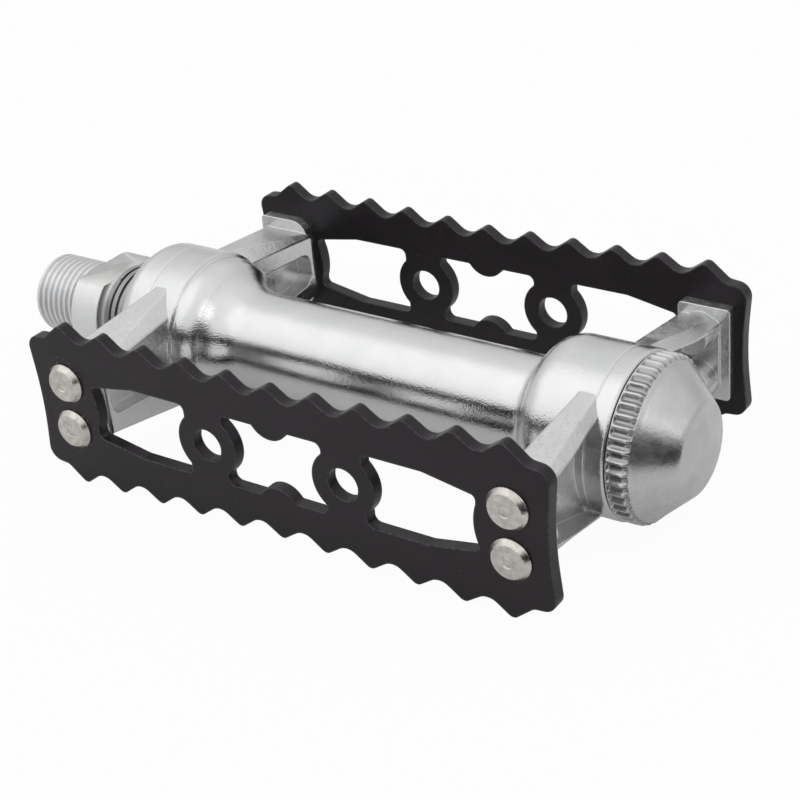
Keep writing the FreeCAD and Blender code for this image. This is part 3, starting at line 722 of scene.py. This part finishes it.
@dataclass
class Turning:
    """Solid of revolution round x, from the corners and roundings of its profile, in mm."""

    corners: Sequence[Triple]
    columns: int
    arc_steps: int = 8
    longest_share: float = 0.48

    def outline(self, fine_above: float, row: float) -> list[Vector]:
        """Returns the points of the profile with its corners rounded.

        Args:
            fine_above: Radius above which the profile is cut into short rows.
            row: Length of such a row.
        """
        points: list[Vector] = [Vector(self.corners[0][:2])]
        for before, (along, radius, rounding), after in zip(self.corners, self.corners[1:],
                                                            self.corners[2:]):
            here = Vector((along, radius))
            if not rounding:
                points.append(here)
                continue
            back, ahead = Vector(before[:2]) - here, Vector(after[:2]) - here
            half = back.angle(ahead) / 2.0
            shortest = min(back.length, ahead.length)
            reach = min(rounding / math.tan(half), self.longest_share * shortest)
            start, finish = here + back.normalized() * reach, here + ahead.normalized() * reach
            inwards = (back.normalized() + ahead.normalized()).normalized()
            middle = here + inwards * (reach / math.cos(half))
            swing = (start - middle).angle_signed(finish - middle)
            for step in range(self.arc_steps + 1):
                turn = Matrix.Rotation(-swing * step / self.arc_steps, 2)
                points.append(middle + turn @ (start - middle))
        points.append(Vector(self.corners[-1][:2]))
        rows: list[Vector] = []
        for here, after in zip(points, points[1:]):
            fine = min(here.y, after.y) > fine_above
            parts = max(1, math.ceil((after - here).length / row)) if fine else 1
            rows += [here.lerp(after, part / parts) for part in range(parts)]
        return rows + [points[-1]]

    def mesh(self, start: float = 0.0, fine_above: float = math.inf, row: float = 1.0) -> Mesh:
        """Turns the profile into a mesh, closed where it begins and ends on the axis.

        Args:
            start: Place of the profile's origin on x.
            fine_above: Radius above which the profile is cut into short rows.
            row: Length of such a row.

        Returns:
            The mesh, in metres.
        """
        shape = bmesh.new()
        rings: list[list[bmesh.types.BMVert]] = []
        for along, radius in self.outline(fine_above, row):
            count = self.columns if radius else 1
            turns = [2.0 * math.pi * column / self.columns for column in range(count)]
            rings.append([shape.verts.new(((start + along) * MM, radius * MM * math.cos(turn),
                                           radius * MM * math.sin(turn))) for turn in turns])
        for ring, following in zip(rings, rings[1:]):
            for column in range(self.columns):
                corners = [ring[column % len(ring)], ring[(column + 1) % len(ring)],
                           following[(column + 1) % len(following)],
                           following[column % len(following)]]
                shape.faces.new(list(dict.fromkeys(corners)))
        return as_mesh(shape, "turning")


def finish_piece(name: str, mesh: Mesh, sharp: float, slot: Slot, body: Body,
                 nodes: Sequence[str], paintwork: Paintwork) -> None:
    """Makes a mesh a piece of the pedal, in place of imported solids.

    Args:
        name: Name of the piece.
        mesh: Its mesh.
        sharp: Angle above which an edge stays sharp.
        slot: Finish that it takes.
        body: Body that it rides on.
        nodes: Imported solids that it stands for.
        paintwork: Finishes of the pedal.
    """
    mesh.name = name
    for face in mesh.polygons:
        face.use_smooth = True
        face.material_index = 0
    mesh.set_sharp_from_angle(angle=sharp)
    piece = placed(name, mesh)
    paintwork.coat(piece, slot)
    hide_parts(*nodes)
    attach(piece, body.value)
    LOG.info("%s: %d faces", name, len(mesh.polygons))


@dataclass
class RivetSet:
    """The eight rivets: bevelled heads with a centre pip, through plate and pad."""

    centre_x: float = PLATE_CENTRE_X_MM * MM
    apart_x: float = RIVET_APART_X_MM * MM
    apart_z: float = RIVET_APART_Z_MM * MM
    face_y: float = 32.0 * MM
    count: int = 8
    columns: int = 56
    profile_mm: tuple[Triple, ...] = (
        (-7.4, 0.0, 0.0), (-7.4, 1.7, 0.0), (-6.9, 2.0, 0.0), (0.0, 2.0, 0.0), (0.0, 3.5, 0.0),
        (0.28, 3.5, 0.15), (1.13, 2.78, 0.22), (1.15, 1.10, 0.0), (1.00, 0.96, 0.0),
        (1.00, 0.80, 0.0), (1.13, 0.52, 0.3), (1.13, 0.0, 0.0))

    def build(self, material: bpy.types.Material) -> Mesh:
        """Sets one turned rivet at every place.

        Args:
            material: Finish of the rivets.

        Returns:
            The mesh of all rivets.
        """
        rule = RuleTree("rivet_pattern", {"Centre": self.centre_x, "Apart X": self.apart_x,
                                          "Apart Z": self.apart_z, "Face": self.face_y})
        maths, given = rule.maths, rule.given
        index = rule.add("GeometryNodeInputIndex")

        def side(step: int) -> Node:
            """Returns -1 or 1 for each rivet in turn.

            Args:
                step: Number of rivets after which it changes.
            """
            turn = maths("FLOORED_MODULO", maths("FLOOR", maths("DIVIDE", index, float(step))), 2.0)
            return maths("SUBTRACT", maths("MULTIPLY", turn, 2.0), 1.0)

        row = rule.add("GeometryNodeMeshLine", {"Count": self.count})
        along = maths("MULTIPLY", side(1), given["Apart X"])
        places = rule.move(row, maths("ADD", given["Centre"], along),
                           maths("MULTIPLY", side(4), given["Face"]),
                           maths("MULTIPLY", side(2), given["Apart Z"]))
        spin = rule.add("ShaderNodeCombineXYZ", {"Z": maths("MULTIPLY", side(4), math.pi / 2.0)})
        turned = rule.add("FunctionNodeEulerToRotation", {"Euler": spin})
        rule.end(rule.add("GeometryNodeInstanceOnPoints",
                          {"Points": places, "Instance": given["Geometry"], "Rotation": turned}))
        return rule.run(Turning(self.profile_mm, self.columns).mesh(), material)

    def dress(self, nodes: Solids, paintwork: Paintwork) -> None:
        """Puts the rivets in place of their solids.

        Args:
            nodes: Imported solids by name.
            paintwork: Finishes of the pedal.
        """
        names = [name for name in sorted(nodes) if name.startswith("rivet_")]
        finish_piece("rivets_turned", self.build(paintwork.materials[Slot.RIVET_STEEL]), SHARP_EDGE,
                     Slot.RIVET_STEEL, Body.PLATFORM, names, paintwork)


@dataclass
class CrankThread:
    """External thread of the spindle, a right-hand helix closed at its free end."""

    pitch: float = 1.27 * MM
    crest_r: float = 7.144 * MM
    depth: float = 0.50 * MM
    flank_rise: float = 1.0998 * MM
    crest_trim: float = 0.28 * MM
    start_x: float = -11.6 * MM
    length: float = 11.9 * MM
    lead_in: float = 0.9 * MM
    relief_length: float = 0.7 * MM
    centre_depth: float = 1.1 * MM
    weld: float = 0.004 * MM
    end_rows: int = 3
    rows_per_turn: int = 12
    around: int = 96

    def build(self, material: bpy.types.Material) -> Mesh:
        """Lays a grid on the helix.

        Args:
            material: Finish of the thread.

        Returns:
            The closed mesh of the thread.
        """
        rule = RuleTree("helix_thread", {
            "Pitch": self.pitch, "Crest Radius": self.crest_r, "Depth": self.depth,
            "Flank Rise": self.flank_rise, "Crest Trim": self.crest_trim, "Start": self.start_x,
            "Length": self.length, "Lead In": self.lead_in, "Relief": self.relief_length,
            "Centre Depth": self.centre_depth})
        maths, given = rule.maths, rule.given
        rows = round(self.length / self.pitch * self.rows_per_turn) + self.end_rows + 1
        grid = rule.add("GeometryNodeMeshGrid", {"Size X": 1.0, "Size Y": 1.0, "Vertices X": rows,
                                                 "Vertices Y": self.around + 1})
        across, round_way, _ = rule.place()
        row = maths("SUBTRACT", maths("MULTIPLY", maths("ADD", across, 0.5), rows - 1.0),
                    float(self.end_rows))
        turn = maths("ADD", round_way, 0.5)
        step = maths("DIVIDE", given["Length"], rows - 1.0 - self.end_rows)
        along = maths("MULTIPLY", maths("MAXIMUM", row, 0.0), step)
        phase = maths("FRACT", maths("SUBTRACT", maths("DIVIDE", along, given["Pitch"]), turn))
        saw = maths("ABSOLUTE", maths("SUBTRACT", maths("MULTIPLY", phase, 2.0), 1.0))
        dip = maths("SUBTRACT", maths("MULTIPLY", saw, given["Flank Rise"]), given["Crest Trim"])
        dip = maths("MINIMUM", maths("MAXIMUM", dip, 0.0), given["Depth"])
        ran_out = maths("GREATER_THAN", along, maths("SUBTRACT", given["Length"], given["Relief"]))
        dip = maths("MAXIMUM", dip, maths("MULTIPLY", ran_out, given["Depth"]))
        crest = maths("SUBTRACT", given["Crest Radius"], dip)
        entry = maths("ADD", maths("SUBTRACT", given["Crest Radius"], given["Lead In"]), along)
        radius = maths("MINIMUM", crest, entry)
        before = maths("DIVIDE", maths("ADD", row, float(self.end_rows)), self.end_rows - 1.0)
        before = maths("MINIMUM", maths("MAXIMUM", before, 0.0), 1.0)
        radius = maths("MULTIPLY", radius, maths("POWER", before, 2.0))
        drilled = maths("MULTIPLY", maths("LESS_THAN", row, 0.5 - self.end_rows),
                        given["Centre Depth"])
        x = maths("ADD", maths("ADD", given["Start"], along), drilled)
        angle = maths("MULTIPLY", turn, 2.0 * math.pi)
        helix = rule.move(grid, x, maths("MULTIPLY", radius, maths("COSINE", angle)),
                          maths("MULTIPLY", radius, maths("SINE", angle)))
        joined = {"Geometry": helix, "Distance": self.weld}
        rule.end(rule.add("GeometryNodeMergeByDistance", joined))
        return rule.run(bpy.data.meshes.new("thread_rule"), material)


@dataclass
class FlutedCap:
    """Conical dust cap whose rim has closed round flutes between two plain bands."""

    hub_end_mm: float = 109.7
    rim_r_mm: float = 13.3
    flutes: int = 46
    flute_depth_mm: float = 0.62
    flute_from_mm: float = 0.40
    flute_to_mm: float = 3.62
    flute_fade_mm: float = 0.26
    land_level: float = -0.68
    columns_per_flute: int = 14
    row_mm: float = 0.12
    spigot_r_mm: float = 12.0
    spigot_bore_r_mm: float = 10.4
    spigot_x_mm: float = -2.3
    gap_mm: float = 0.12
    rim_end_mm: float = 3.0
    shoulder_mm: Pair = (1.2, 1.3)
    nose_x_mm: float = 10.8
    nose_r_mm: float = 2.6
    cone_end_mm: Pair = (9.3, 7.3)
    wall_mm: float = 1.6
    cone_wall_mm: Pair = (1.35, 0.85)
    inside_rounds_mm: Triple = (2.0, 4.0, 0.6)
    rim_rounds_mm: Triple = (0.25, 1.0, 0.25)
    cone_rounds_mm: Pair = (2.6, 3.0)

    def corners(self) -> list[Triple]:
        """Returns x from the hub's end, radius and rounding of each corner, from pole to pole."""
        run, drop = self.shoulder_mm
        cone_x, cone_r = self.cone_end_mm
        wall_x, wall_r = self.cone_wall_mm
        inside_x = self.nose_x_mm - self.wall_mm
        pole_round, cone_round, bore_round = self.inside_rounds_mm
        seat_round, rim_round, shoulder_round = self.rim_rounds_mm
        return [
            (inside_x, 0.0, 0.0),
            (inside_x, self.nose_r_mm, pole_round),
            (cone_x - wall_x, cone_r - wall_r, cone_round),
            (self.rim_end_mm, self.spigot_bore_r_mm, bore_round),
            (self.spigot_x_mm, self.spigot_bore_r_mm, 0.0),
            (self.spigot_x_mm, self.spigot_r_mm, 0.0),
            (self.gap_mm, self.spigot_r_mm, 0.0),
            (self.gap_mm, self.rim_r_mm, seat_round),
            (self.rim_end_mm, self.rim_r_mm, rim_round),
            (self.rim_end_mm + run, self.rim_r_mm - drop, shoulder_round),
            (cone_x, cone_r, self.cone_rounds_mm[0]),
            (self.nose_x_mm, self.nose_r_mm, self.cone_rounds_mm[1]),
            (self.nose_x_mm, 0.0, 0.0),
        ]

    def fluted(self, material: bpy.types.Material) -> Mesh:
        """Sinks the flutes into the rim.

        Args:
            material: Finish of the cap.

        Returns:
            The mesh of the cap.
        """
        rule = RuleTree("rim_flutes", {
            "Flutes": float(self.flutes), "Depth": self.flute_depth_mm * MM,
            "From": (self.hub_end_mm + self.flute_from_mm) * MM,
            "To": (self.hub_end_mm + self.flute_to_mm) * MM, "Fade": self.flute_fade_mm * MM,
            "Land": self.land_level, "Spigot": self.spigot_r_mm * MM})
        maths, given = rule.maths, rule.given
        x, y, z = rule.place()
        radius = rule.length(y, z)
        wave = maths("COSINE", maths("MULTIPLY", maths("ARCTAN2", z, y), given["Flutes"]))
        trough = maths("DIVIDE", maths("SUBTRACT", wave, given["Land"]),
                       maths("SUBTRACT", 1.0, given["Land"]))
        trough = maths("SQRT", maths("MAXIMUM", trough, 0.0))
        ends = maths("MINIMUM", maths("SUBTRACT", x, given["From"]),
                     maths("SUBTRACT", given["To"], x))
        ends = maths("MINIMUM", maths("MAXIMUM", maths("DIVIDE", ends, given["Fade"]), 0.0), 1.0)
        outside = maths("GREATER_THAN", radius, given["Spigot"])
        dip = maths("MULTIPLY", maths("MULTIPLY", trough, maths("SQRT", ends)),
                    maths("MULTIPLY", outside, given["Depth"]))
        share = maths("SUBTRACT", 1.0, maths("DIVIDE", dip, maths("MAXIMUM", radius, MM)))
        rule.end(rule.move(given["Geometry"], x, maths("MULTIPLY", y, share),
                           maths("MULTIPLY", z, share)))
        plain = Turning(self.corners(), self.flutes * self.columns_per_flute)
        return rule.run(plain.mesh(self.hub_end_mm, self.spigot_r_mm, self.row_mm), material)

    def dress(self, paintwork: Paintwork) -> None:
        """Puts the fluted cap in place of its solid.

        Args:
            paintwork: Finishes of the pedal.
        """
        finish_piece("dust_cap_fluted", self.fluted(paintwork.materials[Slot.CAP_CHROME]),
                     FLUTE_EDGE, Slot.CAP_CHROME, Body.PLATFORM, ["dust_cap"], paintwork)


@dataclass
class SpindleSet:
    """Spindle with its real thread in place of the plain cylinder of the solid."""

    thread: CrankThread = field(default_factory=CrankThread)
    cut_x: float = -0.02 * MM
    weld: float = 0.0005 * MM

    def core(self, solid: bpy.types.Object) -> Mesh:
        """Copies the solid without its plain thread.

        Args:
            solid: Packed spindle.

        Returns:
            The closed mesh of collar, neck, shaft and stud.
        """
        shape = bmesh.new()
        shape.from_mesh(solid.data)
        bmesh.ops.remove_doubles(shape, verts=shape.verts, dist=self.weld)
        every = [*shape.verts, *shape.edges, *shape.faces]
        cut = bmesh.ops.bisect_plane(shape, geom=every, plane_co=(self.cut_x, 0.0, 0.0),
                                     plane_no=(1.0, 0.0, 0.0), clear_inner=True)
        rim = [part for part in cut["geom_cut"] if isinstance(part, bmesh.types.BMEdge)]
        bmesh.ops.holes_fill(shape, edges=rim, sides=0)
        return as_mesh(shape, "spindle_core")

    def dress(self, nodes: Solids, paintwork: Paintwork) -> None:
        """Puts the threaded spindle in place of its solid.

        Args:
            nodes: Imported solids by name.
            paintwork: Finishes of the pedal.
        """
        material = paintwork.materials[Slot.SPINDLE_STEEL]
        whole = bmesh.new()
        for mesh in (self.core(nodes["spindle"]), self.thread.build(material)):
            whole.from_mesh(mesh)
            bpy.data.meshes.remove(mesh)
        finish_piece("spindle_threaded", as_mesh(whole, "spindle_threaded"), SHARP_EDGE,
                     Slot.SPINDLE_STEEL, Body.SPINDLE_SET, ["spindle"], paintwork)


@dataclass
class Lamp:
    """A soft box that looks at the pedal."""

    name: str
    place: Triple
    size: Pair
    power: float


@dataclass
class Studio:
    """Pale floor, soft light and the camera."""

    aim: Triple = (0.0633, 0.0, 0.0)
    azimuth: float = 0.648035
    elevation: float = 0.507200
    roll: float = -0.101220
    distance: float = 0.305828
    side: float = 0.0010993
    rise: float = -0.0043613
    lens: float = 83.886
    sensor: float = 36.0
    clips: Pair = (0.01, 20.0)
    floor_size: float = 4.0
    floor_colour: Triple = (0.66, 0.66, 0.66)
    camera_share: float = 0.96
    mirror_share: float = 0.22
    low_levels: Ramp = (-0.3, 0.5, 0.76, 0.72)
    high_from: Pair = (0.0, 0.9)
    high_level: float = 1.08
    back_levels: Ramp = (0.0, 0.5, 1.0, 0.87)
    bright_side: Triple = (-0.441, -0.344, 0.829)
    bright_levels: Ramp = (0.77, 0.985, 0.0, 0.14)
    dark_side: Triple = (0.839, -0.545, 0.0)
    dark_levels: Ramp = (0.82, 0.996, 1.0, 0.05)
    card_from_x: float = 0.115
    card_distance: float = 0.055
    card_half: float = 0.035
    card_top: float = 0.006
    card_colour: Triple = (0.03, 0.03, 0.03)
    lamps: tuple[Lamp, ...] = (
        Lamp("top_box", (-0.267, -0.258, 0.62), (0.70, 0.55), 0.14),
        Lamp("front_box", (-0.45, -0.60, 0.36), (0.45, 0.35), 0.07),
        Lamp("right_box", (0.75, -0.28, 0.50), (0.35, 0.35), 0.25),
    )

    def camera(self) -> None:
        """Makes the camera at the fitted place."""
        away = math.cos(self.elevation)
        back = Vector((math.sin(self.azimuth) * away, -math.cos(self.azimuth) * away,
                       math.sin(self.elevation)))
        level = Vector((math.cos(self.azimuth), math.sin(self.azimuth), 0.0))
        up = back.cross(level)
        right = math.cos(self.roll) * level + math.sin(self.roll) * up
        top = -math.sin(self.roll) * level + math.cos(self.roll) * up
        eye = Vector(self.aim) + back * self.distance + right * self.side + top * self.rise
        data = bpy.data.cameras.new("camera")
        data.lens = self.lens
        data.sensor_width = self.sensor
        data.clip_start, data.clip_end = self.clips
        camera = placed("camera", data)
        turn = Matrix((right, top, back)).transposed().to_4x4()
        camera.matrix_world = Matrix.Translation(eye) @ turn
        bpy.context.scene.camera = camera

    def sheet(self, name: str, corners: Sequence[Sequence[float]],
              finish: str) -> tuple[bpy.types.Object, Graph]:
        """Makes a flat sheet of the studio.

        Args:
            name: Name of the sheet.
            corners: Its four corners.
            finish: Name of its material.

        Returns:
            The sheet, and the empty graph of its material.
        """
        mesh = bpy.data.meshes.new(name)
        mesh.from_pydata(corners, [], [(0, 1, 2, 3)])
        material = bpy.data.materials.new(finish)
        material.use_nodes = True
        mesh.materials.append(material)
        return placed(name, mesh), Graph(material.node_tree)

    def floor(self, height: float) -> None:
        """Lays the floor: white to the camera, a little white in mirrors, grey where it is lit.

        Args:
            height: Lowest point of the pedal.
        """
        half = self.floor_size / 2
        corners = [(x * half, y * half, height) for x, y in ((-1, -1), (1, -1), (1, 1), (-1, 1))]
        floor, graph = self.sheet("floor", corners, "pale_floor")
        lit = graph.add("ShaderNodeBsdfDiffuse", {"Color": self.floor_colour})
        white = graph.add("ShaderNodeEmission", {"Color": WHITE, "Strength": 1.0})
        path = graph.add("ShaderNodeLightPath").outputs
        seen = graph.maths("MULTIPLY", path["Is Camera Ray"], self.camera_share)
        mirrored = graph.maths("MULTIPLY", path["Is Glossy Ray"], self.mirror_share)
        mixed = {0: graph.maths("MAXIMUM", seen, mirrored), 1: lit, 2: white}
        shader = graph.add("ShaderNodeMixShader", mixed)
        graph.add("ShaderNodeOutputMaterial", {"Surface": shader})
        floor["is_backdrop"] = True

    def card(self, height: float) -> None:
        """Stands a dark card beside the cap, outside the view, for the soft band on its cone.

        Args:
            height: Lowest point of the pedal.
        """
        foot = Vector((self.dark_side[0], self.dark_side[1], 0.0)).normalized()
        along = Vector((-foot.y, foot.x, 0.0)) * self.card_half
        middle = Vector((self.card_from_x, 0.0, 0.0)) + foot * self.card_distance
        corners = [(*(middle + along * side).xy, level) for side, level in
                   ((-1.0, height), (1.0, height), (1.0, self.card_top), (-1.0, self.card_top))]
        card, graph = self.sheet("dark_card", corners, "black_card")
        cloth = graph.add("ShaderNodeBsdfDiffuse", {"Color": self.card_colour})
        graph.add("ShaderNodeOutputMaterial", {"Surface": cloth})
        card.visible_camera = False
        card.visible_shadow = False
        card.visible_diffuse = False
        card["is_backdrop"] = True

    def world(self) -> None:
        """Makes the soft surroundings: white to the camera, graded for what metal mirrors."""
        world = bpy.data.worlds.new("white_tent")
        world.use_nodes = True
        bpy.context.scene.world = world
        graph = Graph(world.node_tree)
        direction = graph.add("ShaderNodeTexCoord").outputs["Generated"]
        _, y, z = graph.split(direction)
        low = graph.span(y, *self.low_levels, smooth=True)
        level = graph.mix(graph.span(z, *self.high_from, smooth=True), low, self.high_level)
        level = graph.maths("MULTIPLY", level, graph.span(y, *self.back_levels, smooth=True))
        bright = graph.span(graph.along(direction, self.bright_side), *self.bright_levels,
                            smooth=True)
        dark = graph.span(graph.along(direction, self.dark_side), *self.dark_levels, smooth=True)
        mirrored = graph.maths("ADD", graph.maths("MULTIPLY", level, dark), bright)
        path = graph.add("ShaderNodeLightPath").outputs
        strength = graph.mix(path["Is Camera Ray"], mirrored, 1.0)
        glow = graph.add("ShaderNodeBackground", {"Color": WHITE, "Strength": strength})
        graph.add("ShaderNodeOutputWorld", {"Surface": glow})

    def light(self) -> None:
        """Hangs the soft boxes."""
        for lamp in self.lamps:
            data = bpy.data.lights.new(lamp.name, "AREA")
            data.shape = "RECTANGLE"
            data.size, data.size_y = lamp.size
            data.energy = lamp.power
            box = placed(lamp.name, data)
            place = Vector(lamp.place)
            box.matrix_world = Matrix.Translation(place) @ (
                place - Vector(self.aim)).to_track_quat("Z", "Y").to_matrix().to_4x4()

    def build(self, height: float) -> None:
        """Builds the whole studio.

        Args:
            height: Lowest point of the pedal.
        """
        self.floor(height)
        self.card(height)
        self.world()
        self.light()
        self.camera()
        bpy.context.scene.view_settings.view_transform = "Standard"
        LOG.info("studio: %d lamps", len(self.lamps))


SOLID_GROUPS: tuple[SolidGroup, ...] = (
    SolidGroup("cast platform", Slot.CAST_BODY, ("pedal_body",)),
    SolidGroup("toothed plates", Slot.CAGE_PAINT, ("cage_",)),
    SolidGroup("rivets", Slot.RIVET_STEEL, ("rivet_",)),
    SolidGroup("bearings", Slot.BEARING_STEEL,
               ("inner_cup", "outer_cup", "inner_ball", "outer_ball")),
    SolidGroup("adjusters", Slot.HARDWARE_STEEL, ("outer_cone", "lock_washer", "lock_nut")),
    SolidGroup("spindle solid", Slot.SPINDLE_STEEL, ("spindle",)),
    SolidGroup("dust seal", Slot.SEAL_BLACK, ("dust_seal",)),
    SolidGroup("dust cap", Slot.CAP_CHROME, ("dust_cap",)),
)


def plain_box(corners: Sequence[Sequence[float]]) -> list[list[float]]:
    """Returns a box as lists of numbers.

    Args:
        corners: Lowest and highest corner.
    """
    return [[float(value) for value in corner] for corner in corners]


def main() -> None:
    """Dresses the pedal, piece by piece, and sets up the studio."""
    logging.basicConfig(level=logging.INFO, format="%(message)s")
    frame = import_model()
    solid_box = plain_box(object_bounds())
    paintwork = Paintwork()
    for group in SOLID_GROUPS:
        group.dress(frame["nodes"], paintwork)
    SpindleSet().dress(frame["nodes"], paintwork)
    FlutedCap().dress(paintwork)
    RivetSet().dress(frame["nodes"], paintwork)
    Studio().build(solid_box[0][2])


if __name__ == "__main__":
    main()
